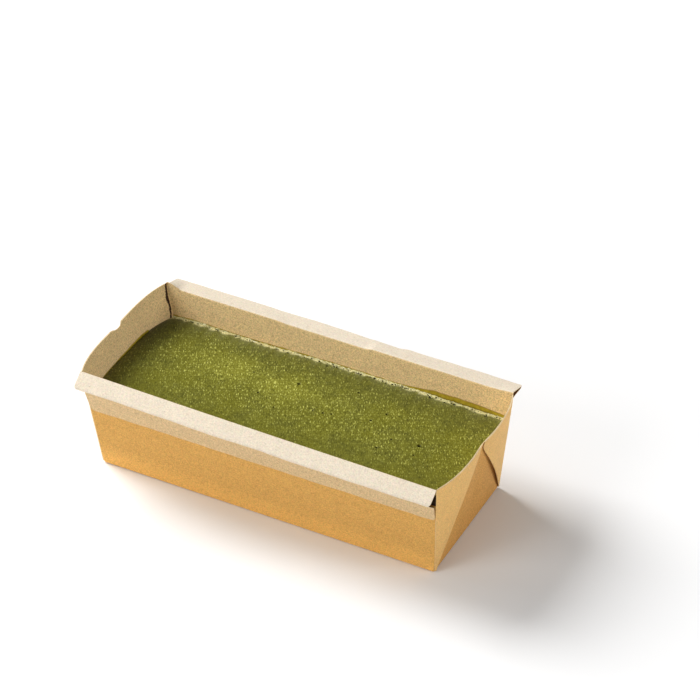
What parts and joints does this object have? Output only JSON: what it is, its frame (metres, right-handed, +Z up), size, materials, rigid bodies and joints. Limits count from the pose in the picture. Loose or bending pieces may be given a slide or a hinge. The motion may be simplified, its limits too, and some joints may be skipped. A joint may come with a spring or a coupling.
{
  "type": "matcha terrine cake in a paper loaf case",
  "caption": "Rectangular green tea terrine, a dense smooth cake, set level in a folded kraft-paper loaf case with rolled long edges and gusseted ends.",
  "frame": {"origin": "middle of the paper case's flat underside, where it rests", "axes": "+X along the loaf, +Y from the front long wall to the back one, +Z up"},
  "size_m": [0.1791, 0.0855, 0.0503],
  "materials": {
    "kraft_paper": "matte",
    "terrine": "satin"
  },
  "bodies": {
    "root": {"paper_case": "kraft_paper", "terrine": "terrine"}
  },
  "joints": []
}
